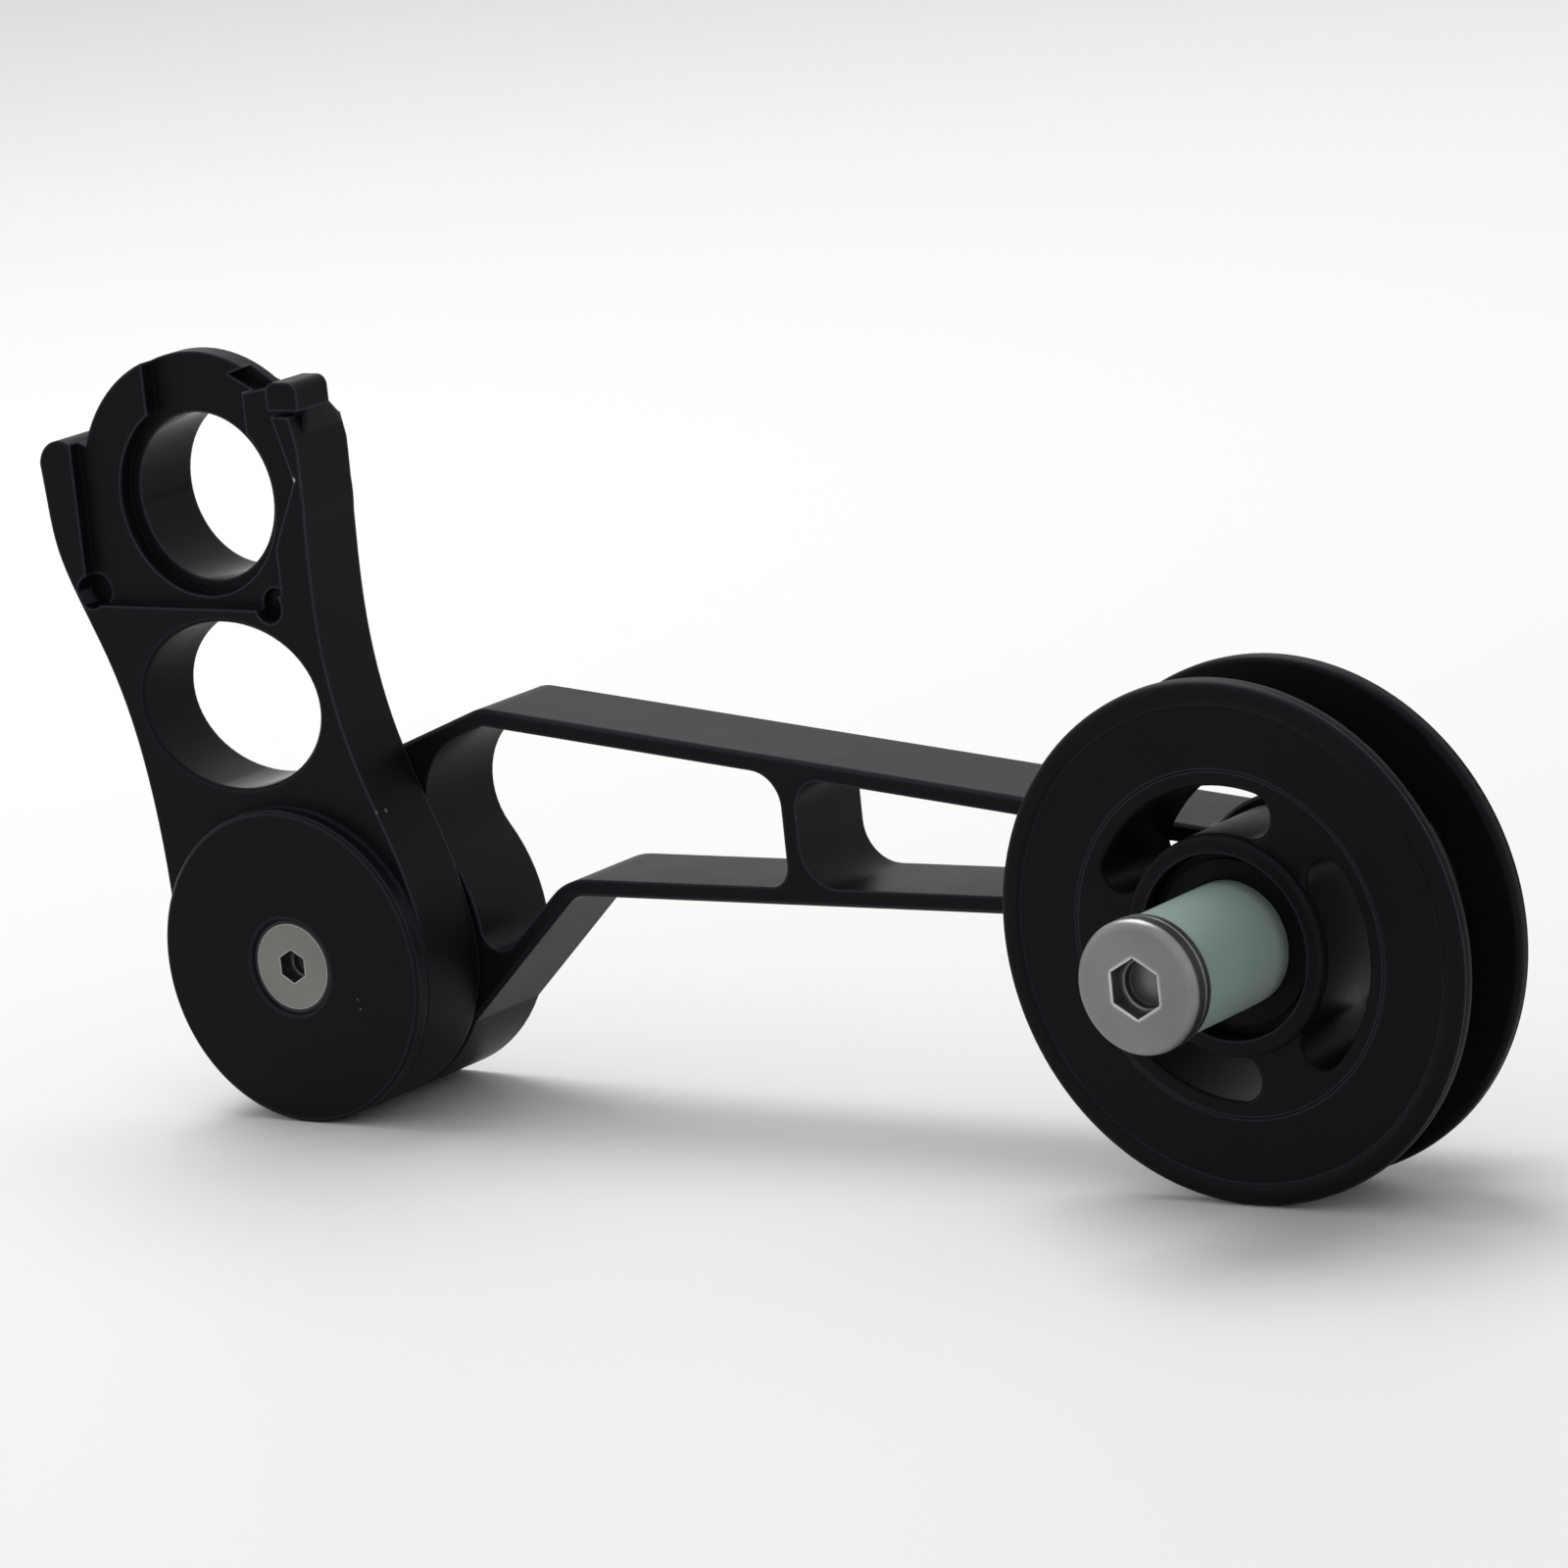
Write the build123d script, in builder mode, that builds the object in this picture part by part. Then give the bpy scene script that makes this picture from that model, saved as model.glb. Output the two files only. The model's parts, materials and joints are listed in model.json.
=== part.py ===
from build123d import *
import os
from math import asin, cos, degrees, radians, sin, sqrt

# Sprung chain tensioner. A hanger plate bolts round a wheel axle at its eye. An arm swings on a
# pivot at the plate's foot, and a grooved pulley turns and slides on a sleeve at the arm's end.
#
# Frame: millimetres, +Z up, +X towards the pulley, -Y towards the cap side.
# The origin is on the eye's axis, on the floor of the eye's counterbore.

# Layout
eye_to_pivot_x = 7.8        # pivot lies this far towards the pulley from the eye
eye_to_pivot_z = 47.3       # and this far below it
arm_length = 114.0          # pivot axis to pulley axis
pulley_radius = 25.0
drum_radius = 16.2          # plate drum, cap and arm hub share this radius
swing_range = 75.0          # degrees that the arm swings down from its stop

# Hanger plate
eye_radius = 8.6
seat_radius = 10.0          # counterbore round the eye
seat_depth = 1.6            # counterbore floor below the dropout field
field_depth = 1.4           # dropout field below the plate's front face
plate_thickness = 8.0
rear_boss_radius = 11.4
rear_boss_height = 3.0
head_radius = 14.8
ear_width = 4.2             # ear front face, edge to groove
ear_rise = 3.6              # ear's tip above the eye axis
ear_peak = 2.0              # ear's inner end above its tip
mouth_left = 5.3            # recess from the counterbore out through the head's top: to the left
mouth_right = 7.4           # and to the right of the eye axis
waist_bulge = 1.1           # left edge outside the line from drum to ear
rim_relief = 2.8            # head's rim is this much thinner, at the back
relief_rise = 7.9           # above this height over the eye axis
lug_reach = 11.6            # hooked lug at the head's right: eye axis to its left side
lug_width = 3.9
lug_rise = 9.4              # lug's underside above the eye axis
lug_height = 2.9
lug_depth = 5.0
lug_round = 1.1
neck_drop = 0.7             # top of the neck behind the lug, below the lug's top
shoulder_rise = 8.8         # plate's right shoulder, under the lug
shoulder_fall = 3.4
shoulder_step = 0.7
notch_depth = 1.5           # slanted notch in the head's rim, left of the lug
notch_tip_angle = 70.0
notch_floor_angle = 55.0
notch_flare = 18.0
notch_sink = 1.3            # notch floor behind the counterbore's floor
lip_width = 2.9             # lip down the right shoulder, at its top
nick_rise = 2.3             # height over the eye axis where that lip runs out
nick_width = 0.9
ridge_reach = 10.6          # low ridge right of the field: eye axis to its edge
ridge_drop = 4.5            # ridge's top below the eye axis
ledge_half = 7.0            # ledge, eye axis to its right end
relief_inset = 0.4
relief_radius = 1.7         # rounded corner reliefs of the field
oval_width = 22.6
oval_height = 17.2
oval_drop = 20.9            # eye axis down to the oval's centre
oval_shift = 2.3            # and across to it
ledge_drop = 11.0           # eye axis to the ledge under the field
edge_break = 0.35
drum_step = 0.4             # drum's front stands proud of the plate
ring_break = 0.2            # fine edges of the drum, cap and bolt

# Pivot
cap_thickness = 1.8
cap_spigot_radius = 7.0
cap_spigot_height = 1.2
screw_radius = 2.5
screw_head_radius = 4.45
screw_recess = 0.4          # head's face below the cap's
screw_recess_radius = 5.0
screw_head_lip = 0.3
screw_shank = 11.0
screw_hex = 3.0             # across flats
screw_hex_depth = 1.8
axle_radius = 5.0
axle_end_break = 0.5
axle_tail = 0.6             # axle beyond its retaining ring
chamber_outer = 12.4        # spring chamber, shared by drum and arm hub
plate_web = 2.4             # drum wall in front of the chamber
plate_boss_radius = 8.2
arm_boss_radius = 7.9
hub_chamber_depth = 6.0
washer_thickness = 0.4      # between plate and arm: sets their gap
bush_wall = 1.5
bush_flange = 0.8
rear_recess_radius = 9.2
rear_recess_depth = 3.2
rear_washer_radius = 8.4
rear_washer_thickness = 0.6
ring_thickness = 1.0
ring_radius = 7.4
ring_groove = 0.4           # depth of the ring's groove in the axle
ring_gap = 2.4
ring_hole_radius = 0.6
wire_radius = 0.9
spring_mean_radius = 10.4
spring_turns = 5.0
spring_tang = 1.6
guide_wall = 0.5
guide_length = 10.6
stop_pin_radius = 1.0
stop_pin_circle = 14.3
stop_pin_reach = 2.6
stop_pin_seat = 4.4
stop_pin_angle = 250.0      # place round the drum, seen from the cap side

# Arm
arm_depth = 11.0
rail_thickness = 1.8
top_strap_angle = 21.5      # rise of the upper strap as it leaves the hub
low_strap_angle = 43.6      # rise of the lower strap
low_strap_inset = 0.8       # lower strap passes this much nearer the pivot than the hub's edge
knee_reach = 27.3           # along the upper strap, tangent point to knee
low_knee_reach = 25.1       # along the lower strap, tangent point to knee
low_rail_angle = 0.8        # both rails' slopes, seen from the cap side
top_rail_angle = -5.77
arm_tip_radius = 11.5       # round boss at the arm's tip
hub_land = 0.5              # window edge outside the hub's radius
web_reach = 55.4            # pivot axis to the near side of the cross web
web_thickness = 1.7
knee_round = 4.5
window_hub_round = 7.5
window_foot_round = 2.3
window_knee_round = 1.6
window_low_knee_round = 6.5
web_top_round = 3.6
web_foot_round = 2.2
slot_top_round = 3.0
slot_foot_round = 4.2
slot_end_round = 1.1
tip_under_round = 4.0       # boss to the underside of the lower rail
tip_over_round = 2.0        # boss to the top of the upper rail

# Pulley axle
sleeve_radius = 6.0
shoulder_radius = 4.0       # bolt shank
bolt_head_radius = 6.4
bolt_head_height = 1.9
bolt_head_round = 0.8
bolt_hex = 5.0              # across flats
bolt_hex_depth = 1.8
socket_drill = 0.9          # drilled round below each socket's flats
bolt_washer_radius = 6.3
bolt_washer_thickness = 1.0
sleeve_length = 25.6

# Pulley
rim_spacing = 10.2          # rim centre to rim centre
rim_thickness = 1.8
flange_root = 0.5           # each flange is this much thicker at its root
flange_inner_radius = 16.6
core_seam = 0.1             # seam between a flange and the core
tread_radius = 17.6
window_inner = 10.6
window_outer = 15.0
window_arc = 75.0
window_phase = 112.0
window_count = 3
window_round = 0.5
drain_width = 1.8           # slots in the rear flange, just outside the tread
rim_bevel = 1.8
rim_bevel_depth = 0.3
rim_round = 0.6
hub_lip_round = 0.5
hub_lip_inner = 8.9
hub_lip_height = 0.8
liner_wall = 2.0
liner_flange = 0.4          # liner behind the core, keeps the rim off the arm
liner_sink = 0.8            # liner's front behind the rim's
clip_inset = 0.4
clip_thickness = 0.7
clip_groove = 0.4

# Clearances
running = 0.04              # radial, pin in bush
press = 0.02                # radial, pieces that are pressed or clamped together
loose = 0.1                 # radial, washers and bolts in their holes
side_gap = 0.05             # axial, moving piece to the face that stops it
seat_gap = 0.1
overrun = 1.0               # cuts run this far past what they open

# Planes across the part, front to back
seat_y = 0.0
field_y = seat_y - seat_depth
plate_front = field_y - field_depth
plate_back = plate_front + plate_thickness
boss_back = plate_back + rear_boss_height
drum_front = plate_front - drum_step
cap_front = drum_front - cap_thickness
screw_face = cap_front + screw_recess
arm_front = plate_back + washer_thickness
arm_back = arm_front + arm_depth
chamber_front = plate_front + plate_web
chamber_back = arm_front + hub_chamber_depth
recess_floor = arm_back - rear_recess_depth
bush_length = (recess_floor - arm_front - bush_flange - seat_gap) / 2
bolt_seat_y = arm_front - sleeve_length
head_back = bolt_seat_y - bolt_washer_thickness
rim_back = arm_front - side_gap - liner_flange
rim_front = rim_back - rim_spacing - rim_thickness

# Axes
pivot = (eye_to_pivot_x, -eye_to_pivot_z)
rest_angle = degrees(asin((pulley_radius - drum_radius) / arm_length))
tip = (arm_length * cos(radians(rest_angle)), arm_length * sin(radians(rest_angle)))
pulley_axis = (pivot[0] + tip[0], pivot[1] + tip[1])
eye = (0.0, 0.0)


def across(axis, y):
    """Sketch plane square to Y through an axis: local x is +X, local y is +Z, normal is -Y."""
    return Plane(origin=(axis[0], y, axis[1]), x_dir=(1, 0, 0), z_dir=(0, -1, 0))


def ray(angle, length):
    """Point at a distance from the sketch origin, at an angle from local x."""
    return (length * cos(radians(angle)), length * sin(radians(angle)))


def tangent_line_point(radius, angle, side, along):
    """Point on a line tangent to a circle at the origin.

    The line runs at the given angle. Side is +1 for a line above the circle and -1 below it.
    """
    foot = ray(angle + 90 * side, radius)
    step = ray(angle, along)
    return (foot[0] + step[0], foot[1] + step[1])


def crossing(first, first_angle, second, second_angle):
    """Point where two lines meet, each given by a point and an angle."""
    dx, dy = second[0] - first[0], second[1] - first[1]
    ax, ay = ray(first_angle, 1)
    bx, by = ray(second_angle, 1)
    along = (dx * by - dy * bx) / (ax * by - ay * bx)
    return (first[0] + along * ax, first[1] + along * ay)


def shifted(point, angle, distance):
    """Point moved square to a direction, to its left."""
    step = ray(angle + 90, distance)
    return (point[0] + step[0], point[1] + step[1])


def circle_entry(centre, radius, point, angle):
    """Where a line, given by a point and an angle, first meets a circle."""
    along = ray(angle, 1)
    dx, dy = centre[0] - point[0], centre[1] - point[1]
    reach = dx * along[0] + dy * along[1]
    offset = dx * along[1] - dy * along[0]
    step = reach - sqrt(radius ** 2 - offset ** 2)
    return (point[0] + step * along[0], point[1] + step * along[1])


def near(vertices, point):
    """The one vertex of a sketch that is closest to a local point of that sketch."""
    target = Vector(point[0], point[1])
    return sorted(vertices, key=lambda v: (Vector(v.X, v.Y) - target).length)[0]


# Hanger plate. Its outline is drawn about the pivot: drum, waisted body, ear and round head.
head = (-pivot[0], -pivot[1])
groove_x = head[0] - head_radius
right_x = head[0] + head_radius
ear_tip = (groove_x - ear_width, head[1] + ear_rise)
shoulder = (right_x - shoulder_step, head[1] + shoulder_rise)
ledge_z = head[1] - ledge_drop
cavity_top = head[1] + head_radius + overrun
left_foot = ray(180, drum_radius)
left_low = (-drum_radius - waist_bulge, head[1] * 0.36)
left_mid = ((left_low[0] + ear_tip[0]) / 2 + waist_bulge, head[1] * 0.65)
left_high = (ear_tip[0] + waist_bulge, head[1] * 0.88)
right_foot = ray(12, drum_radius)
right_low = (right_x + (right_foot[0] - right_x) * 0.73, head[1] * 0.25)
right_mid = (right_x + (right_foot[0] - right_x) * 0.27, head[1] * 0.46)
right_high = (right_x, head[1] * 0.7)
notch_tip = ray(notch_tip_angle, head_radius - notch_depth)
notch_floor = ray(notch_floor_angle, head_radius - notch_depth)
notch_mouth = crossing(notch_tip, notch_flare, (lug_reach, 0), 90)
neck_top = lug_rise + lug_height - neck_drop

with BuildPart() as hanger_plate:
    with BuildSketch(across(pivot, plate_front)):
        with BuildLine():
            left = Spline(left_foot, left_low, left_mid, left_high, ear_tip,
                          tangents=[(0, 1), (-0.1, 1)])
            ear = RadiusArc(left @ 1, (groove_x, ear_tip[1] + ear_peak), ear_width * 0.66)
            Polyline(ear @ 1, head, (head[0] + lug_reach, shoulder[1]), shoulder,
                     (right_x, shoulder[1] - shoulder_fall))
            right = Spline((right_x, shoulder[1] - shoulder_fall), right_high, right_mid, right_low,
                           right_foot, tangents=[(0, -1), (0.2, -1)])
            Polyline(right @ 1, (0, 0), left_foot)
        make_face()
        Circle(drum_radius)
        with Locations(head):
            Circle(head_radius)
    extrude(amount=-plate_thickness)
    with BuildSketch(across(pivot, drum_front)):
        Circle(drum_radius)
    extrude(amount=-drum_step)
    chamfer(hanger_plate.faces().sort_by(Axis.Y)[0].edges(), ring_break)
    with BuildSketch(across(eye, plate_back)):
        with Locations((0, relief_rise + head_radius / 2)):
            Rectangle(4 * head_radius, head_radius)
    extrude(amount=rim_relief, mode=Mode.SUBTRACT)
    with BuildSketch(across(eye, plate_back - rim_relief)):
        Circle(rear_boss_radius)
    extrude(amount=-(rear_boss_height + rim_relief))
    # dropout field with its counterbore, and the relieved corners
    with BuildSketch(across(pivot, plate_front)):
        with BuildLine():
            Polyline(
                (groove_x, ledge_z), (head[0] + ledge_half, ledge_z),
                (head[0] + ridge_reach, ledge_z + relief_radius),
                (head[0] + ridge_reach, head[1] - ridge_drop),
                (right_x - nick_width, head[1] + nick_rise),
                (right_x - lip_width, shoulder[1]), (right_x - lip_width, cavity_top),
                (groove_x, cavity_top), close=True,
            )
        make_face()
    extrude(amount=-field_depth, mode=Mode.SUBTRACT)
    with BuildSketch(across(pivot, plate_front)):
        with Locations((groove_x + relief_inset, ledge_z + relief_radius - relief_inset),
                       (head[0] + ledge_half + relief_radius, ledge_z + relief_inset)):
            Circle(relief_radius)
    extrude(amount=-field_depth - seat_depth / 2, mode=Mode.SUBTRACT)
    with BuildSketch(across(eye, field_y)):
        Circle(seat_radius)
        with BuildLine():
            Polyline((-mouth_left, 0), (-mouth_left, head_radius + overrun),
                     (mouth_right, head_radius + overrun), (mouth_right, 0), close=True)
        make_face()
    extrude(amount=-seat_depth, mode=Mode.SUBTRACT)
    # slanted notch in the front of the rim, then the lug and the neck that carries it
    with BuildSketch(across(eye, plate_front)):
        with BuildLine():
            Polyline(notch_mouth, notch_tip, notch_floor, (lug_reach, neck_top), close=True)
        make_face()
    extrude(amount=-(seat_y + notch_sink - plate_front), mode=Mode.SUBTRACT)
    with BuildSketch(across(eye, field_y)):
        with BuildLine():
            Polyline(notch_floor, (lug_reach, neck_top), (lug_reach + lug_width - lug_round, neck_top),
                     (head_radius - shoulder_step, shoulder_rise), (notch_floor[0], shoulder_rise),
                     close=True)
        make_face()
    extrude(amount=-(plate_front + lug_depth - field_y))
    with BuildSketch(across(eye, plate_front)) as lug_face:
        with Locations((lug_reach + lug_width / 2, lug_rise + lug_height / 2)):
            Rectangle(lug_width, lug_height)
        fillet(lug_face.vertices().group_by(Axis.Y)[-1], lug_round)
    extrude(amount=-lug_depth)
    with BuildSketch(across(eye, plate_front)):
        Circle(eye_radius)
    extrude(amount=-(boss_back - plate_front), mode=Mode.SUBTRACT)
    with BuildSketch(across(eye, plate_front)):
        with Locations((oval_shift, -oval_drop)):
            Ellipse(oval_width / 2, oval_height / 2)
    extrude(amount=-plate_thickness, mode=Mode.SUBTRACT)
    chamfer(hanger_plate.edges().filter_by(GeomType.ELLIPSE).sort_by(Axis.Y)[0], edge_break)
    # spring chamber round the axle boss, axle bore, cap spigot seat, pin hole and tang hole
    with BuildSketch(across(pivot, chamber_front)):
        Circle(chamber_outer)
        Circle(plate_boss_radius, mode=Mode.SUBTRACT)
    extrude(amount=-(plate_back - chamber_front), mode=Mode.SUBTRACT)
    with BuildSketch(across(pivot, drum_front)):
        Circle(axle_radius + press)
    extrude(amount=-(plate_back - drum_front), mode=Mode.SUBTRACT)
    with BuildSketch(across(pivot, drum_front)):
        Circle(cap_spigot_radius + press)
    extrude(amount=-cap_spigot_height - seat_gap, mode=Mode.SUBTRACT)
    with BuildSketch(across(pivot, plate_back)):
        with Locations(ray(stop_pin_angle, stop_pin_circle)):
            Circle(stop_pin_radius + press)
    extrude(amount=stop_pin_seat, mode=Mode.SUBTRACT)
    with BuildSketch(across(pivot, chamber_front)):
        with Locations(ray(0, spring_mean_radius)):
            Circle(wire_radius + loose)
    extrude(amount=spring_tang + seat_gap, mode=Mode.SUBTRACT)
hanger_plate.part.label = "hanger_plate"

# Pivot cap, countersunk for its screw, with a spigot that centres it in the plate
screw_head_depth = screw_head_lip + screw_head_radius - screw_radius
with BuildPart() as pivot_cap:
    with BuildSketch(across(pivot, cap_front)):
        Circle(drum_radius)
    extrude(amount=-cap_thickness)
    chamfer(pivot_cap.faces().sort_by(Axis.Y)[0].edges(), edge_break)
    chamfer(pivot_cap.faces().sort_by(Axis.Y)[-1].edges(), ring_break)
    with BuildSketch(across(pivot, drum_front)):
        Circle(cap_spigot_radius)
    extrude(amount=-cap_spigot_height)
    with BuildSketch(Plane(origin=(pivot[0], cap_front, pivot[1]), x_dir=(1, 0, 0), z_dir=(0, 0, 1))):
        with BuildLine():
            Polyline(
                (0, 0), (screw_recess_radius + ring_break, 0), (screw_recess_radius, ring_break),
                (screw_recess_radius, screw_recess), (screw_head_radius + loose, screw_recess),
                (screw_head_radius + loose, screw_recess + screw_head_lip),
                (screw_radius + loose, screw_recess + screw_head_depth),
                (screw_radius + loose, cap_thickness + cap_spigot_height),
                (0, cap_thickness + cap_spigot_height), close=True,
            )
        make_face()
    revolve(axis=Axis((pivot[0], 0, pivot[1]), (0, 1, 0)), mode=Mode.SUBTRACT)
pivot_cap.part.label = "pivot_cap"


def hex_socket(axis, face, flats, depth):
    """Solid to cut away for a hex socket with a drilled bottom, going in from a face."""
    with BuildPart() as socket:
        with BuildSketch(across(axis, face)):
            RegularPolygon(flats / 2, 6, major_radius=False, rotation=30)
        extrude(amount=-depth)
        with BuildSketch(across(axis, face)):
            Circle(flats / 2 - ring_break)
        extrude(amount=-depth - socket_drill)
    return socket.part


# Countersunk screw with a hex socket, its face a little below the cap's
screw_socket = hex_socket(pivot, screw_face, screw_hex, screw_hex_depth)
with BuildPart() as pivot_screw:
    with BuildSketch(Plane(origin=(pivot[0], screw_face, pivot[1]), x_dir=(1, 0, 0), z_dir=(0, 0, 1))):
        with BuildLine():
            Polyline(
                (0, 0), (screw_head_radius, 0), (screw_head_radius, screw_head_lip),
                (screw_radius, screw_head_depth), (screw_radius, screw_head_depth + screw_shank),
                (0, screw_head_depth + screw_shank), close=True,
            )
        make_face()
    revolve(axis=Axis((pivot[0], 0, pivot[1]), (0, 1, 0)))
    add(screw_socket, mode=Mode.SUBTRACT)
pivot_screw.part.label = "pivot_screw"

# Pivot axle: pressed into the plate, tapped for the cap screw, grooved for its ring
axle_front = drum_front + cap_spigot_height + seat_gap
bush_rear_face = recess_floor + bush_flange
ring_front = bush_rear_face + rear_washer_thickness + side_gap
axle_back = ring_front + ring_thickness + axle_tail
screw_end = screw_face + screw_head_depth + screw_shank
with BuildPart() as pivot_axle:
    with BuildSketch(across(pivot, axle_front)):
        Circle(axle_radius)
    extrude(amount=-(axle_back - axle_front))
    chamfer(pivot_axle.faces().sort_by(Axis.Y)[-1].edges(), axle_end_break)
    with BuildSketch(across(pivot, ring_front - side_gap / 2)):
        Circle(axle_radius)
        Circle(axle_radius - ring_groove, mode=Mode.SUBTRACT)
    extrude(amount=-(ring_thickness + side_gap), mode=Mode.SUBTRACT)
    with BuildSketch(across(pivot, axle_front)):
        Circle(screw_radius + press)
    extrude(amount=-(screw_end - axle_front + seat_gap), mode=Mode.SUBTRACT)
pivot_axle.part.label = "pivot_axle"

# Pivot washer between the plate's boss and the arm's boss
with BuildPart() as pivot_washer:
    with BuildSketch(across(pivot, plate_back)):
        Circle(arm_boss_radius)
        Circle(axle_radius + loose, mode=Mode.SUBTRACT)
    extrude(amount=-washer_thickness)
pivot_washer.part.label = "pivot_washer"

# Guide tube that keeps the spring off the bosses
with BuildPart() as spring_guide:
    with BuildSketch(across(pivot, chamber_front)):
        Circle(plate_boss_radius + press + guide_wall)
        Circle(plate_boss_radius + press, mode=Mode.SUBTRACT)
    extrude(amount=-guide_length)
spring_guide.part.label = "spring_guide"

# Torsion spring: a close helix with a straight tang into the plate and one into the arm
spring_front = chamber_front + wire_radius + seat_gap
spring_back = chamber_back - wire_radius - seat_gap
spring_height = spring_back - spring_front
with BuildPart() as torsion_spring:
    coil_plane = Plane(origin=(pivot[0], spring_front, pivot[1]), x_dir=(1, 0, 0), z_dir=(0, 1, 0))
    coil = coil_plane * Helix(spring_height / spring_turns, spring_height, spring_mean_radius)
    with BuildSketch(Plane(origin=coil @ 0, z_dir=coil % 0)):
        Circle(wire_radius)
    sweep(path=coil, is_frenet=True)
    for end, way, reach in ((coil @ 0, -1, spring_tang), (coil @ 1, 1, spring_tang)):
        with Locations(Location(end)):
            Sphere(wire_radius)
        with BuildSketch(Plane(origin=end, z_dir=(0, way, 0))):
            Circle(wire_radius)
        extrude(amount=wire_radius + reach)
torsion_spring.part.label = "torsion_spring"

# Stop pin: pressed into the drum, runs in the arm's arc slot
with BuildPart() as stop_pin:
    with BuildSketch(across(pivot, plate_back - stop_pin_seat + seat_gap)):
        with Locations(ray(stop_pin_angle, stop_pin_circle)):
            Circle(stop_pin_radius)
    extrude(amount=-(stop_pin_seat - seat_gap + stop_pin_reach))
stop_pin.part.label = "stop_pin"

# Tension arm: hub, two straps that leave it on tangents, knees, rails, a cross web and a tip boss
knee = tangent_line_point(drum_radius, top_strap_angle, 1, knee_reach)
top_rail_end = crossing(knee, top_rail_angle, tip, 90)
top_meet = circle_entry(tip, arm_tip_radius, knee, top_rail_angle)
low_strap_circle = drum_radius - low_strap_inset
low_knee = tangent_line_point(low_strap_circle, low_strap_angle, -1, low_knee_reach)
low_rail_end = crossing(low_knee, low_rail_angle, tip, 90)
low_meet = circle_entry(tip, arm_tip_radius, low_knee, low_rail_angle)
top_start = tangent_line_point(drum_radius, top_strap_angle, 1, 0)
low_start = tangent_line_point(low_strap_circle, low_strap_angle, -1, 0)
strap_inner = shifted(knee, top_strap_angle, -rail_thickness)
rail_inner = shifted(knee, top_rail_angle, -rail_thickness)
low_strap_inner = shifted(low_knee, low_strap_angle, rail_thickness)
low_rail_inner = shifted(low_knee, low_rail_angle, rail_thickness)
inner_knee = crossing(strap_inner, top_strap_angle, rail_inner, top_rail_angle)
inner_low_knee = crossing(low_strap_inner, low_strap_angle, low_rail_inner, low_rail_angle)
web_near = (web_reach, 0)
web_far = (web_reach + web_thickness, 0)
window_top = crossing(rail_inner, top_rail_angle, web_near, 90)
window_foot = crossing(low_rail_inner, low_rail_angle, web_near, 90)
slot_top = crossing(rail_inner, top_rail_angle, web_far, 90)
slot_foot = crossing(low_rail_inner, low_rail_angle, web_far, 90)
slot_end_top = crossing(rail_inner, top_rail_angle, tip, 90)
slot_end_foot = crossing(low_rail_inner, low_rail_angle, tip, 90)
slot_meet_top = circle_entry(tip, arm_tip_radius, rail_inner, top_rail_angle)
slot_meet_foot = circle_entry(tip, arm_tip_radius, low_rail_inner, low_rail_angle)
strap_wall = drum_radius - rail_thickness
low_strap_wall = low_strap_circle - rail_thickness
window_hub_radius = drum_radius + hub_land
hub_top = tangent_line_point(strap_wall, top_strap_angle, 1,
                             sqrt(window_hub_radius ** 2 - strap_wall ** 2))
hub_foot = tangent_line_point(low_strap_wall, low_strap_angle, -1,
                              sqrt(window_hub_radius ** 2 - low_strap_wall ** 2))
bush_radius = axle_radius + running + bush_wall
tang_angle = -360 * spring_turns

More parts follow.
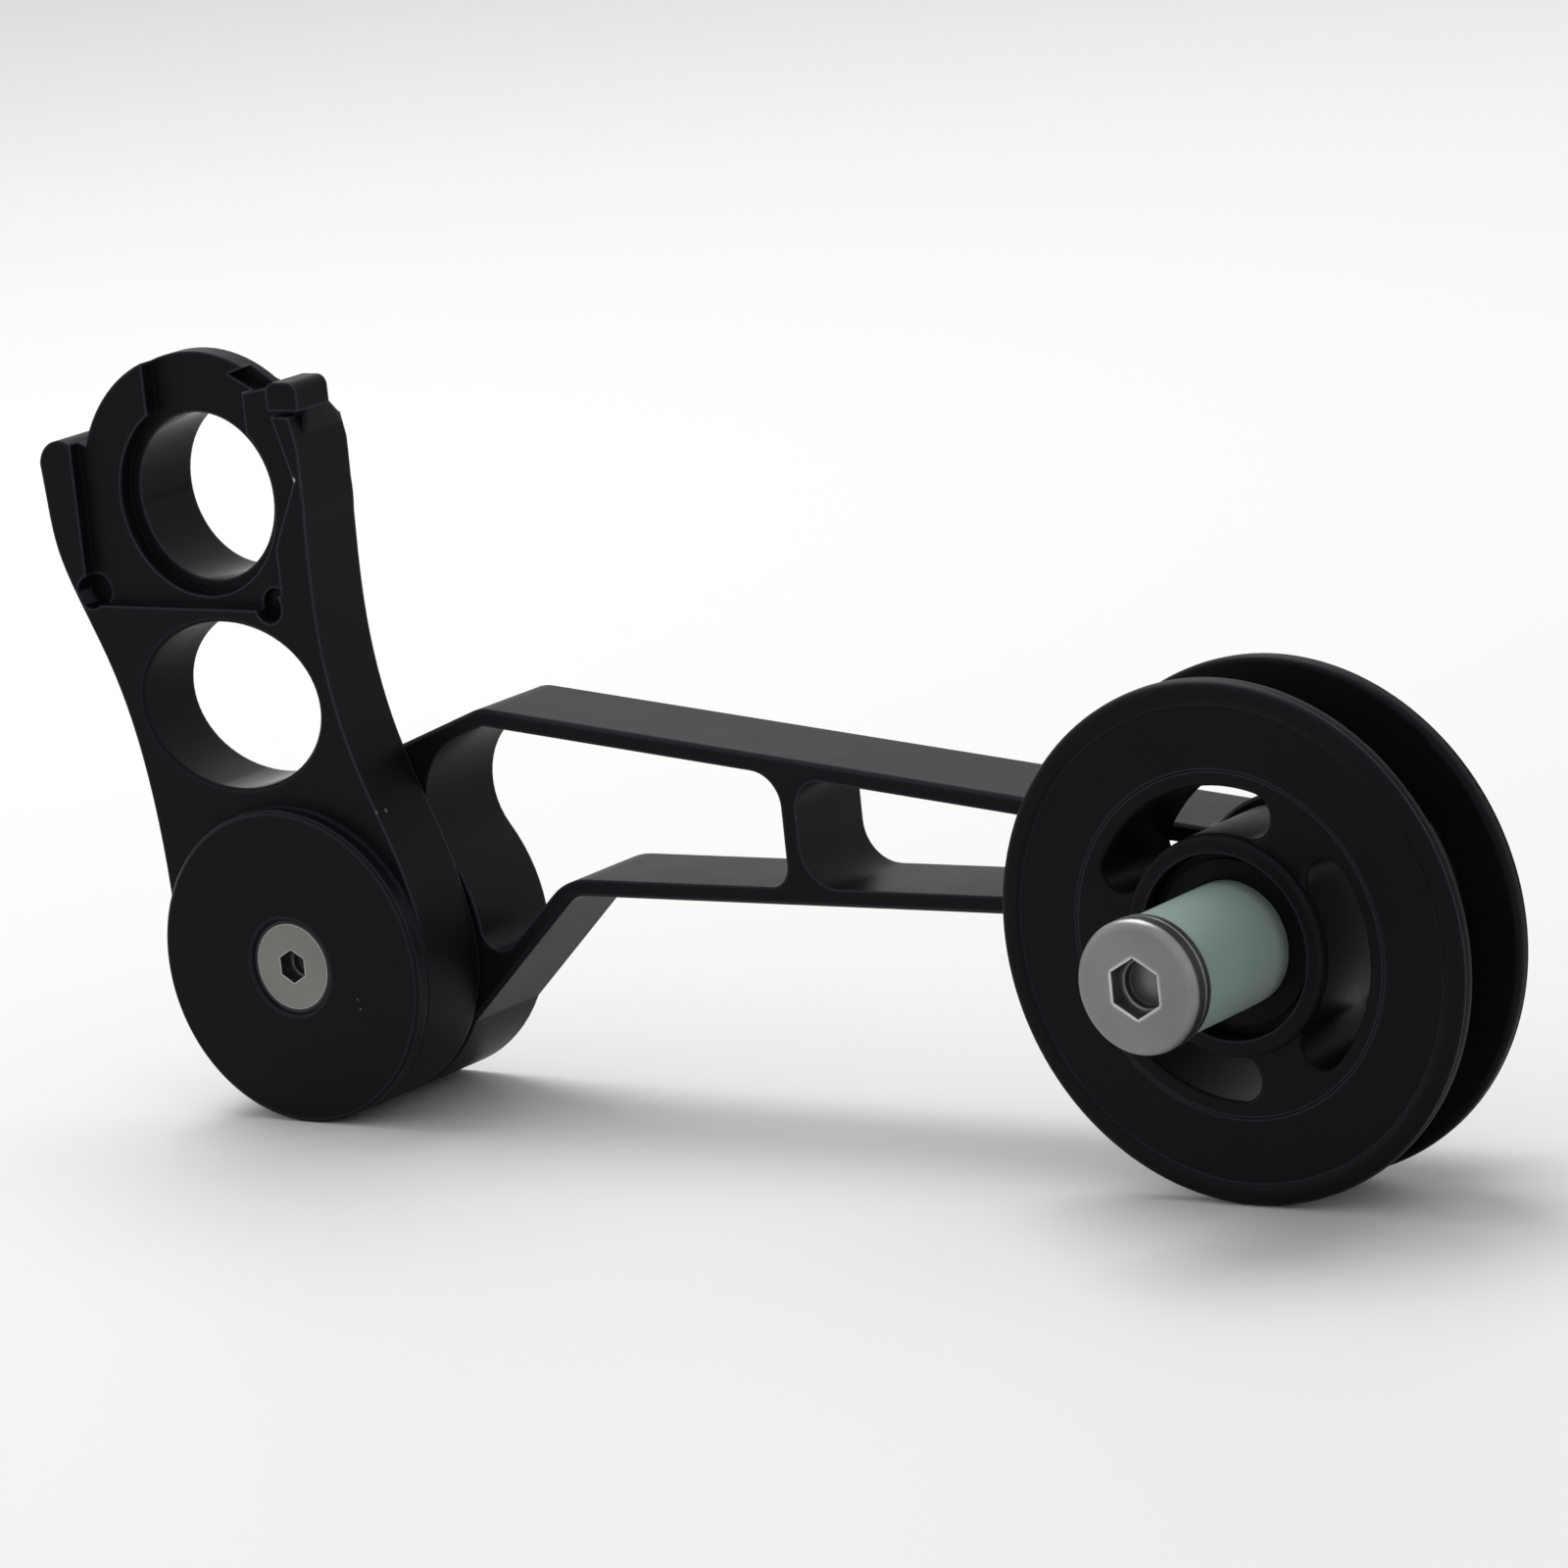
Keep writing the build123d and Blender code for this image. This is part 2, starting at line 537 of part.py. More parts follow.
with BuildPart() as tension_arm:
    with BuildSketch(across(pivot, arm_front)) as arm_outline:
        Circle(drum_radius)
        with Locations(tip):
            Circle(arm_tip_radius)
        with BuildLine():
            Polyline(top_start, knee, top_rail_end, tip, low_rail_end, low_knee, low_start, (0, 0),
                     close=True)
        make_face()
        fillet(near(arm_outline.vertices(), knee), knee_round)
        fillet(near(arm_outline.vertices(), low_knee), knee_round - rail_thickness)
        fillet(near(arm_outline.vertices(), low_meet), tip_under_round)
        fillet(near(arm_outline.vertices(), top_meet), tip_over_round)
    extrude(amount=-arm_depth)
    chamfer(tension_arm.faces().sort_by(Axis.Y)[0].outer_wire().edges(), edge_break)
    # first window, between the hub and the web
    with BuildSketch(across(pivot, arm_front)) as first_window:
        with BuildLine():
            Polyline(inner_knee, window_top, window_foot, inner_low_knee,
                     shifted(low_start, low_strap_angle, rail_thickness),
                     shifted(top_start, top_strap_angle, -rail_thickness), close=True)
        make_face()
        Circle(window_hub_radius, mode=Mode.SUBTRACT)
        for corner, radius in (
            (hub_top, window_hub_round), (hub_foot, window_foot_round),
            (inner_knee, window_knee_round), (inner_low_knee, window_low_knee_round),
            (window_top, web_top_round), (window_foot, web_foot_round),
        ):
            fillet(near(first_window.vertices(), corner), radius)
    extrude(amount=-arm_depth, mode=Mode.SUBTRACT)
    # second window, between the web and the tip boss
    with BuildSketch(across(pivot, arm_front)) as second_window:
        with BuildLine():
            Polyline(slot_top, slot_end_top, slot_end_foot, slot_foot, close=True)
        make_face()
        with Locations(tip):
            Circle(arm_tip_radius, mode=Mode.SUBTRACT)
        for corner, radius in (
            (slot_top, slot_top_round), (slot_foot, slot_foot_round),
            (slot_meet_top, slot_end_round), (slot_meet_foot, slot_end_round),
        ):
            fillet(near(second_window.vertices(), corner), radius)
    extrude(amount=-arm_depth, mode=Mode.SUBTRACT)
    # spring chamber, bush bore, flange seats, tang hole and the stop pin's arc slot
    with BuildSketch(across(pivot, arm_front)):
        Circle(chamber_outer)
        Circle(arm_boss_radius, mode=Mode.SUBTRACT)
    extrude(amount=-hub_chamber_depth, mode=Mode.SUBTRACT)
    with BuildSketch(across(pivot, arm_front)):
        Circle(bush_radius + press)
    extrude(amount=-arm_depth, mode=Mode.SUBTRACT)
    with BuildSketch(across(pivot, arm_front)):
        Circle(arm_boss_radius)
    extrude(amount=-bush_flange, mode=Mode.SUBTRACT)
    with BuildSketch(across(pivot, recess_floor)):
        Circle(rear_recess_radius)
    extrude(amount=-rear_recess_depth, mode=Mode.SUBTRACT)
    with BuildSketch(across(pivot, chamber_back)):
        with Locations(ray(tang_angle, spring_mean_radius)):
            Circle(wire_radius + loose)
    extrude(amount=-(spring_tang + seat_gap), mode=Mode.SUBTRACT)
    with BuildSketch(across(pivot, arm_front)):
        with BuildLine() as slot_path:
            CenterArc((0, 0), stop_pin_circle, stop_pin_angle, swing_range)
        SlotArc(slot_path.edges()[0], 2 * (stop_pin_radius + loose))
    extrude(amount=-(stop_pin_reach - washer_thickness + seat_gap), mode=Mode.SUBTRACT)
    with BuildSketch(across(pulley_axis, arm_front)):
        Circle(shoulder_radius + press)
    extrude(amount=-arm_depth, mode=Mode.SUBTRACT)
tension_arm.part.label = "tension_arm"


def flanged_bush(face, way):
    """Plain bush with a flange at one end. Face is the flange's outer face, way its inward Y."""
    with BuildPart() as bush:
        for radius, length in ((arm_boss_radius, bush_flange), (bush_radius, bush_flange + bush_length)):
            with BuildSketch(Plane(origin=(pivot[0], face, pivot[1]), z_dir=(0, way, 0))):
                Circle(radius)
                Circle(axle_radius + running, mode=Mode.SUBTRACT)
            extrude(amount=length)
    return bush


front_pivot_bush = flanged_bush(arm_front, 1)
front_pivot_bush.part.label = "front_pivot_bush"
rear_pivot_bush = flanged_bush(bush_rear_face, -1)
rear_pivot_bush.part.label = "rear_pivot_bush"

# Washer and retaining ring that hold the arm on the axle, in the hub's rear recess
with BuildPart() as rear_washer:
    with BuildSketch(across(pivot, bush_rear_face)):
        Circle(rear_washer_radius)
        Circle(axle_radius + loose, mode=Mode.SUBTRACT)
    extrude(amount=-rear_washer_thickness)
rear_washer.part.label = "rear_washer"

with BuildPart() as retaining_ring:
    with BuildSketch(across(pivot, ring_front)):
        Circle(ring_radius)
        Circle(axle_radius - ring_groove + press, mode=Mode.SUBTRACT)
        with Locations((0, -ring_radius)):
            Rectangle(ring_gap, 2 * ring_radius, mode=Mode.SUBTRACT)
        for side in (-1, 1):
            with Locations((side * (ring_gap / 2 + 2 * ring_hole_radius), -(axle_radius + ring_radius) / 2)):
                Circle(ring_hole_radius, mode=Mode.SUBTRACT)
    extrude(amount=-ring_thickness)
retaining_ring.part.label = "retaining_ring"

# Pulley bolt: low round head with a hex socket, shank through washer, sleeve and tip boss
bolt_socket = hex_socket(pulley_axis, head_back - bolt_head_height, bolt_hex, bolt_hex_depth)
with BuildPart() as pulley_bolt:
    with BuildSketch(across(pulley_axis, head_back)):
        Circle(bolt_head_radius)
    extrude(amount=bolt_head_height)
    fillet(pulley_bolt.faces().sort_by(Axis.Y)[0].edges(), bolt_head_round)
    with BuildSketch(across(pulley_axis, head_back)):
        Circle(shoulder_radius)
    extrude(amount=-(arm_back - head_back))
    chamfer(pulley_bolt.faces().sort_by(Axis.Y)[-1].edges(), axle_end_break)
    add(bolt_socket, mode=Mode.SUBTRACT)
pulley_bolt.part.label = "pulley_bolt"

with BuildPart() as bolt_washer:
    with BuildSketch(across(pulley_axis, head_back)):
        Circle(bolt_washer_radius)
        Circle(shoulder_radius + loose, mode=Mode.SUBTRACT)
    extrude(amount=-bolt_washer_thickness)
    chamfer(bolt_washer.faces().sort_by(Axis.Y)[0].outer_wire().edges(), ring_break)
bolt_washer.part.label = "bolt_washer"

# Sleeve that the pulley turns and slides on
with BuildPart() as pulley_sleeve:
    with BuildSketch(across(pulley_axis, bolt_seat_y)):
        Circle(sleeve_radius)
        Circle(shoulder_radius + loose, mode=Mode.SUBTRACT)
    extrude(amount=-sleeve_length)
pulley_sleeve.part.label = "pulley_sleeve"

# Liner: slides on the sleeve, with a rear flange that keeps the rim off the arm
liner_radius = sleeve_radius + running + liner_wall
liner_front = rim_front + liner_sink
liner_back = arm_front - side_gap
with BuildPart() as pulley_liner:
    with BuildSketch(across(pulley_axis, liner_front)):
        Circle(liner_radius)
    extrude(amount=-(liner_back - liner_front))
    with BuildSketch(across(pulley_axis, rim_back + side_gap)):
        Circle(window_inner - side_gap)
    extrude(amount=-(liner_back - rim_back - side_gap))
    with BuildSketch(across(pulley_axis, liner_front)):
        Circle(sleeve_radius + running)
    extrude(amount=-(liner_back - liner_front), mode=Mode.SUBTRACT)
    with BuildSketch(across(pulley_axis, liner_front + clip_inset)):
        Circle(liner_radius)
        Circle(liner_radius - clip_groove, mode=Mode.SUBTRACT)
    extrude(amount=-clip_thickness - side_gap, mode=Mode.SUBTRACT)
pulley_liner.part.label = "pulley_liner"

# Clip ring in the liner's front groove: it holds the pulley on the liner
with BuildPart() as liner_clip:
    with BuildSketch(across(pulley_axis, liner_front + clip_inset + side_gap / 2)):
        Circle(hub_lip_inner - seat_gap)
        Circle(liner_radius - clip_groove + press, mode=Mode.SUBTRACT)
    extrude(amount=-clip_thickness)
liner_clip.part.label = "liner_clip"

# Pulley core: hub, three kidney windows and the tread that the chain runs on
hub_face = rim_front - hub_lip_height
clip_seat = liner_front + clip_inset + clip_thickness + side_gap
with BuildPart() as pulley_core:
    with BuildSketch(across(pulley_axis, rim_front)):
        Circle(flange_inner_radius - core_seam)
    extrude(amount=-(rim_back - rim_front))
    with BuildSketch(across(pulley_axis, rim_front + rim_thickness + flange_root)):
        Circle(tread_radius)
    extrude(amount=-(rim_back - rim_front - 2 * (rim_thickness + flange_root)))
    with BuildSketch(across(pulley_axis, hub_face)):
        Circle(window_inner - side_gap)
    extrude(amount=-hub_lip_height)
    fillet(pulley_core.faces().sort_by(Axis.Y)[0].edges(), hub_lip_round)
    with BuildSketch(across(pulley_axis, hub_face)):
        Circle(hub_lip_inner)
    extrude(amount=-(clip_seat - hub_face), mode=Mode.SUBTRACT)
    with BuildSketch(across(pulley_axis, hub_face)):
        Circle(liner_radius + running)
    extrude(amount=-(rim_back - hub_face), mode=Mode.SUBTRACT)
    window_middle = (window_inner + window_outer) / 2
    with BuildSketch(across(pulley_axis, rim_front)):
        for turn in range(window_count):
            with BuildLine() as window_path:
                CenterArc((0, 0), window_middle,
                          window_phase - window_arc / 2 + turn * 360 / window_count, window_arc)
            SlotArc(window_path.edges()[0], window_outer - window_inner)
    extrude(amount=-(rim_back - rim_front), mode=Mode.SUBTRACT)
    web_face = sorted(pulley_core.faces().filter_by(Axis.Y), key=lambda f: abs(f.center().Y - rim_front))[0]
    fillet([edge for wire in web_face.inner_wires() if len(wire.edges()) > 1 for edge in wire.edges()],
           window_round)
pulley_core.part.label = "pulley_core"


def flange_ring(face, way, drained):
    """Flange ring about the pulley axis. Face is its outer face, way the Y direction of the groove.

    A drained flange has slots just outside the tread, in line with the core's windows.
    """
    root = face + way * (rim_thickness + flange_root)
    inner = face + way * rim_thickness
    bevel = face + way * rim_bevel_depth
    with BuildPart() as ring:
        with BuildSketch(Plane(origin=(pulley_axis[0], 0, pulley_axis[1]), x_dir=(1, 0, 0),
                               z_dir=(0, 0, 1))) as section:
            with BuildLine():
                Polyline(
                    (flange_inner_radius, face), (pulley_radius - rim_bevel, face),
                    (pulley_radius, bevel), (pulley_radius, inner),
                    (tread_radius, root), (flange_inner_radius, root), close=True,
                )
            make_face()
            for corner in ((pulley_radius, inner), (pulley_radius, bevel)):
                fillet(near(section.vertices(), corner), rim_round)
        revolve(axis=Axis((pulley_axis[0], 0, pulley_axis[1]), (0, 1, 0)))
        if drained:
            with BuildSketch(across(pulley_axis, face)):
                for turn in range(window_count):
                    with BuildLine() as drain_path:
                        CenterArc((0, 0), tread_radius + seat_gap + drain_width / 2,
                                  window_phase - window_arc / 2 + turn * 360 / window_count,
                                  window_arc)
                    SlotArc(drain_path.edges()[0], drain_width)
            extrude(amount=-way * (rim_thickness + flange_root), mode=Mode.SUBTRACT)
    return ring


front_flange = flange_ring(rim_front, 1, False)
front_flange.part.label = "front_flange"
rear_flange = flange_ring(rim_back, -1, True)
rear_flange.part.label = "rear_flange"

os.makedirs("parts", exist_ok=True)
for piece in (
    hanger_plate, pivot_cap, pivot_screw, pivot_axle, pivot_washer, spring_guide, torsion_spring,
    stop_pin, tension_arm, front_pivot_bush, rear_pivot_bush, rear_washer, retaining_ring,
    pulley_bolt, bolt_washer, pulley_sleeve, pulley_liner, liner_clip, pulley_core, front_flange,
    rear_flange,
):
    export_step(piece.part, "parts/" + piece.part.label + ".step")
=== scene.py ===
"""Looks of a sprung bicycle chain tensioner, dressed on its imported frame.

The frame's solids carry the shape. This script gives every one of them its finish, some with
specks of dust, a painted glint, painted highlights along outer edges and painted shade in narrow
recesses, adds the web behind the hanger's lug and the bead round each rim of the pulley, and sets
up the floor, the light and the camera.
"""

from __future__ import annotations

import json
import logging
import math
from dataclasses import dataclass, field
from enum import Enum

import bmesh
import bpy
from mathutils import Matrix, Vector

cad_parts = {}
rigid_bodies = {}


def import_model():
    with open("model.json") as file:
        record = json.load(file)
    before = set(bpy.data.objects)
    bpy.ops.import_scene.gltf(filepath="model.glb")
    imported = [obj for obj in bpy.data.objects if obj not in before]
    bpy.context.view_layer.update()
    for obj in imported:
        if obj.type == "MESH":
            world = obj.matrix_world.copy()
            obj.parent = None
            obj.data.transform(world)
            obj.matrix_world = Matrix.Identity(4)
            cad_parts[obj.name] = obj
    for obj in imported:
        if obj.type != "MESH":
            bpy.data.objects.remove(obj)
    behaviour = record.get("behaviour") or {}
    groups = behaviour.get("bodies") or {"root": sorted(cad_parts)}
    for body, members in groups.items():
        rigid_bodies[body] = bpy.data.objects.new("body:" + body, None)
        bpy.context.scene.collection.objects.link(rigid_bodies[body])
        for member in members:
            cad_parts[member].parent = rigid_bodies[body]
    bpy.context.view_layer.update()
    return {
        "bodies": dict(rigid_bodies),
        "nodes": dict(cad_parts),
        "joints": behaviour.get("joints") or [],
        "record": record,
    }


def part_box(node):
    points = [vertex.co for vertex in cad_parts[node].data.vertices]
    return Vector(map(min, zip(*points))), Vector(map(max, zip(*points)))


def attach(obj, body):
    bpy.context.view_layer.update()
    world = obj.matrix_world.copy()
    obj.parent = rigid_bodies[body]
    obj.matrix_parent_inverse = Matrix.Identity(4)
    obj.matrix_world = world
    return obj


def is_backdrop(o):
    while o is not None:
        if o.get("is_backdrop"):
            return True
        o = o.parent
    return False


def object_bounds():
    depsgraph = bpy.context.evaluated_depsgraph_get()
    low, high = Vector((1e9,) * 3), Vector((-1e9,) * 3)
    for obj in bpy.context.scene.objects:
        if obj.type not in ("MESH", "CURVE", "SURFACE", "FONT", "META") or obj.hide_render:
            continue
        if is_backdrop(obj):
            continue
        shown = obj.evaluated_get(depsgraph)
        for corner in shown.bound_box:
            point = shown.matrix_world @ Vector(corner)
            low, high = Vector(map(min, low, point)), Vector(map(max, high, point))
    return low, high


LOG = logging.getLogger("tensioner")

# Samples that the softened edges, the painted edge highlights and the painted shade in recesses take at
# each point.
EDGE_SAMPLES = 4
HIGHLIGHT_SAMPLES = 6
SHADE_SAMPLES = 6

# Range in which a noise texture's output mostly lies.
NOISE_RANGE = (0.3, 0.7)
# Slow wander of colour and roughness: waves per metre, detail and detail's roughness.
WANDER_SCALE = 90.0
WANDER_DETAIL = 4.0
WANDER_ROUGHNESS = 0.6
# Shares of the wander and of the grain in the roughness.
WANDER_SHARE = 0.6
GRAIN_SHARE = 0.4
# Detail and its roughness for each kind of grain.
BLASTED_DETAIL = 3.0
MOULDED_DETAIL = 1.0
CAST_ROUGHNESS = 0.6
TURNED_DETAIL = 4.0
TURNED_ROUGHNESS = 0.7
# Openness at which an edge gets its full painted highlight, and at which it gets none.
HIGHLIGHT_RANGE = (0.55, 0.95)
# How far the painted shade reaches out of a corner, and the openness at which it is darkest and gone.
SHADE_REACH = 0.003
SHADE_RANGE = (0.25, 0.85)
# Roughness of a reamed bore as a share of the rest, and the width in which it changes.
BORE_SHARE = 0.35
BORE_BLUR = 0.0001
# Share of a mark's radius that has its full colour.
MARK_CORE = 0.5

# Sockets of the mix node for colours, which share their names with other sockets.
MIX_FACTOR, MIX_FIRST, MIX_SECOND, MIX_RESULT = 0, 6, 7, 2

# Keeps what lies across an axis along Y.
ACROSS_Y = (1.0, 0.0, 1.0)
ALONG_Y = (0.0, 1.0, 0.0)

Colour = tuple[float, float, float]


class Grain(Enum):
    """How the surface under a finish was made."""

    BLASTED = "blasted"
    TURNED = "turned"
    MOULDED = "moulded"


@dataclass(frozen=True)
class Mark:
    """A small speck of dust, or a painted glint, where the surface shows a paler colour.

    Args:
        place: the mark's middle in metres.
        radius: how far it reaches.
        colour: its linear colour.
    """

    place: tuple[float, float, float]
    radius: float
    colour: Colour


@dataclass(frozen=True)
class Finish:
    """One surface finish, as numbers for a principled shader and its grain.

    Args:
        name: plain name of the finish.
        base: linear base colour.
        roughness: middle value of the roughness.
        grain: how the surface was made.
        metallic: 0 for coatings and plastics, 1 for bare metal.
        specular: reflection level square to the surface.
        colour_spread: share by which the base colour wanders.
        roughness_spread: amount by which the roughness wanders.
        grain_size: size of one grain or line in metres.
        grain_depth: height of the grain in metres.
        axis: point on the turning axis of a turned surface.
        edge: radius by which the finish softens sharp edges, in metres.
        edge_highlight: how many times paler the base colour is painted along outer edges, a painted
            highlight.
        tint: colour of the reflection; a bluish one stands in for blue sky light, a painted reflection
            colour.
        recess_shade: share of painted shade, by which narrow recesses darken.
        bores: reamed holes along Y, each as x, z and radius.
        marks: small specks of dust and painted glints on the surface.
    """

    name: str
    base: Colour
    roughness: float
    grain: Grain = Grain.BLASTED
    metallic: float = 0.0
    specular: float = 0.5
    colour_spread: float = 0.12
    roughness_spread: float = 0.05
    grain_size: float = 0.0003
    grain_depth: float = 0.000004
    axis: tuple[float, float, float] = (0.0, 0.0, 0.0)
    edge: float = 0.0003
    edge_highlight: float = 1.0
    tint: Colour = (1.0, 1.0, 1.0)
    recess_shade: float = 0.0
    bores: tuple[tuple[float, float, float], ...] = field(default=())
    marks: tuple[Mark, ...] = field(default=())


class Nodes:
    """Small helper that adds and links shader nodes."""

    def __init__(self, material: bpy.types.Material) -> None:
        """Clears the material's tree and keeps it.

        Args:
            material: the material to fill.
        """
        material.use_nodes = True
        self.tree = material.node_tree
        self.tree.nodes.clear()

    def add(self, kind: str, inputs: dict | None = None, **values: object) -> bpy.types.Node:
        """Adds one node.

        Args:
            kind: the node's type name.
            inputs: socket names or numbers to values or to other nodes' output sockets.
            **values: properties of the node.

        Returns:
            The new node.
        """
        node = self.tree.nodes.new(kind)
        for key, value in values.items():
            setattr(node, key, value)
        for key, value in (inputs or {}).items():
            if isinstance(value, bpy.types.NodeSocket):
                self.tree.links.new(value, node.inputs[key])
            else:
                node.inputs[key].default_value = value
        return node

    def math(self, operation: str, first: object, second: object = 0.0) -> bpy.types.NodeSocket:
        """Adds a math node and returns its output.

        Args:
            operation: the math operation.
            first: first operand, a number or a socket.
            second: second operand.

        Returns:
            The output socket.
        """
        return self.add("ShaderNodeMath", {0: first, 1: second}, operation=operation).outputs[0]


def build_material(finish: Finish) -> bpy.types.Material:
    """Builds the procedural material of a finish.

    Args:
        finish: the finish.

    Returns:
        The material, on Object coordinates.
    """
    material = bpy.data.materials.new(finish.name)
    nodes = Nodes(material)
    place = nodes.add("ShaderNodeTexCoord").outputs["Object"]
    wander = nodes.add(
        "ShaderNodeTexNoise",
        {
            "Vector": place,
            "Scale": WANDER_SCALE,
            "Detail": WANDER_DETAIL,
            "Roughness": WANDER_ROUGHNESS,
        },
    ).outputs["Fac"]
    grain = grain_height(nodes, finish, place)
    tint = nodes.add(
        "ShaderNodeMapRange",
        {
            "Value": wander,
            "From Min": NOISE_RANGE[0],
            "From Max": NOISE_RANGE[1],
            "To Min": 1.0 - finish.colour_spread,
            "To Max": 1.0 + finish.colour_spread,
        },
    ).outputs[0]
    colour = nodes.add(
        "ShaderNodeVectorMath", {0: finish.base, "Scale": tint}, operation="SCALE"
    ).outputs[0]
    soft_edge = nodes.add(
        "ShaderNodeBevel", {"Radius": finish.edge}, samples=EDGE_SAMPLES
    ).outputs[0]
    # Painted shade: a darker base colour in narrow recesses.
    if finish.recess_shade:
        colour = add_painted_recess_shade(nodes, finish, colour)
    # Painted highlight: a paler base colour along outer edges.
    if finish.edge_highlight != 1.0:
        colour = add_painted_edge_highlight(nodes, finish, colour)
    for mark in finish.marks:
        colour = add_mark(nodes, mark, place, colour)
    unevenness = nodes.math(
        "ADD",
        nodes.math("MULTIPLY", wander, WANDER_SHARE),
        nodes.math("MULTIPLY", grain, GRAIN_SHARE),
    )
    rough = nodes.add(
        "ShaderNodeMapRange",
        {
            "Value": unevenness,
            "From Min": NOISE_RANGE[0],
            "From Max": NOISE_RANGE[1],
            "To Min": finish.roughness - finish.roughness_spread,
            "To Max": finish.roughness + finish.roughness_spread,
        },
    ).outputs[0]
    if finish.bores:
        rough = nodes.math("MULTIPLY", rough, add_bores(nodes, finish, place))
    bump = nodes.add(
        "ShaderNodeBump",
        {"Height": grain, "Strength": 1.0, "Distance": finish.grain_depth, "Normal": soft_edge},
    ).outputs[0]
    shader = nodes.add(
        "ShaderNodeBsdfPrincipled",
        {
            "Base Color": colour,
            "Roughness": rough,
            "Normal": bump,
            "Metallic": finish.metallic,
            "Specular IOR Level": finish.specular,
            "Specular Tint": (*finish.tint, 1.0),
        },
    )
    nodes.add("ShaderNodeOutputMaterial", {"Surface": shader.outputs[0]})
    return material


def grain_height(nodes: Nodes, finish: Finish, place: bpy.types.NodeSocket) -> bpy.types.NodeSocket:
    """Adds the height pattern of a finish's grain.

    Args:
        nodes: the material's nodes.
        finish: the finish.
        place: Object coordinates.

    Returns:
        A height from 0 to 1.
    """
    scale = 1.0 / finish.grain_size
    if finish.grain is Grain.TURNED:
        flat, centred = around_axis(nodes, place, finish.axis)
        radius = nodes.add("ShaderNodeVectorMath", {0: flat}, operation="LENGTH").outputs["Value"]
        depth = nodes.add("ShaderNodeSeparateXYZ", {0: centred}).outputs["Y"]
        rings = nodes.add("ShaderNodeCombineXYZ", {"X": radius, "Y": depth}).outputs[0]
        return nodes.add(
            "ShaderNodeTexNoise",
            {"Vector": rings, "Scale": scale, "Detail": TURNED_DETAIL, "Roughness": TURNED_ROUGHNESS},
        ).outputs["Fac"]
    detail = BLASTED_DETAIL if finish.grain is Grain.BLASTED else MOULDED_DETAIL
    return nodes.add(
        "ShaderNodeTexNoise",
        {"Vector": place, "Scale": scale, "Detail": detail, "Roughness": CAST_ROUGHNESS},
    ).outputs["Fac"]


def around_axis(
    nodes: Nodes, place: bpy.types.NodeSocket, axis: tuple[float, float, float]
) -> tuple[bpy.types.NodeSocket, bpy.types.NodeSocket]:
    """Measures from an axis along Y.

    Args:
        nodes: the material's nodes.
        place: Object coordinates.
        axis: a point on the axis.

    Returns:
        The way from the axis straight out to the point, and the way from the axis's point.
    """
    centred = nodes.add("ShaderNodeVectorMath", {0: place, 1: axis}, operation="SUBTRACT").outputs[0]
    flat = nodes.add("ShaderNodeVectorMath", {0: centred, 1: ACROSS_Y}, operation="MULTIPLY").outputs[0]
    return flat, centred


def add_painted_edge_highlight(
    nodes: Nodes, finish: Finish, colour: bpy.types.NodeSocket
) -> bpy.types.NodeSocket:
    """Paints a highlight into a colour along outer edges, where light catches them: a painted
    highlight.

    Args:
        nodes: the material's nodes.
        finish: the finish.
        colour: the colour away from edges.

    Returns:
        The colour with its painted edge highlights.
    """
    depth = nodes.add(
        "ShaderNodeAmbientOcclusion", {"Distance": finish.edge}, samples=HIGHLIGHT_SAMPLES, inside=True,
        only_local=True,
    ).outputs["AO"]
    gain = nodes.add(
        "ShaderNodeMapRange",
        {
            "Value": depth,
            "From Min": HIGHLIGHT_RANGE[0],
            "From Max": HIGHLIGHT_RANGE[1],
            "To Min": finish.edge_highlight,
            "To Max": 1.0,
        },
    ).outputs[0]
    return nodes.add("ShaderNodeVectorMath", {0: colour, "Scale": gain}, operation="SCALE").outputs[0]


def add_bores(nodes: Nodes, finish: Finish, place: bpy.types.NodeSocket) -> bpy.types.NodeSocket:
    """Finds the walls of reamed holes, which are smoother than the rest.

    Args:
        nodes: the material's nodes.
        finish: the finish.
        place: Object coordinates.

    Returns:
        A factor for the roughness.
    """
    factor: bpy.types.NodeSocket | float = 1.0
    for x, z, radius in finish.bores:
        flat, _ = around_axis(nodes, place, (x, 0.0, z))
        far = nodes.add("ShaderNodeVectorMath", {0: flat}, operation="LENGTH").outputs["Value"]
        inside = nodes.add(
            "ShaderNodeMapRange",
            {
                "Value": far,
                "From Min": radius,
                "From Max": radius + BORE_BLUR,
                "To Min": BORE_SHARE,
                "To Max": 1.0,
            },
        ).outputs[0]
        factor = nodes.math("MULTIPLY", inside, factor)
    return factor


def add_painted_recess_shade(nodes: Nodes, finish: Finish, colour: bpy.types.NodeSocket) -> bpy.types.NodeSocket:
    """Paints shade into a colour in narrow recesses, where less light reaches: painted shade.

    Args:
        nodes: the material's nodes.
        finish: the finish.
        colour: the colour without painted shade.

    Returns:
        The colour with its painted shade.
    """
    openness = nodes.add(
        "ShaderNodeAmbientOcclusion", {"Distance": SHADE_REACH}, samples=SHADE_SAMPLES
    ).outputs["AO"]
    share = nodes.add(
        "ShaderNodeMapRange",
        {
            "Value": openness,
            "From Min": SHADE_RANGE[0],
            "From Max": SHADE_RANGE[1],
            "To Min": 1.0 - finish.recess_shade,
            "To Max": 1.0,
        },
    ).outputs[0]
    return nodes.add("ShaderNodeVectorMath", {0: colour, "Scale": share}, operation="SCALE").outputs[0]


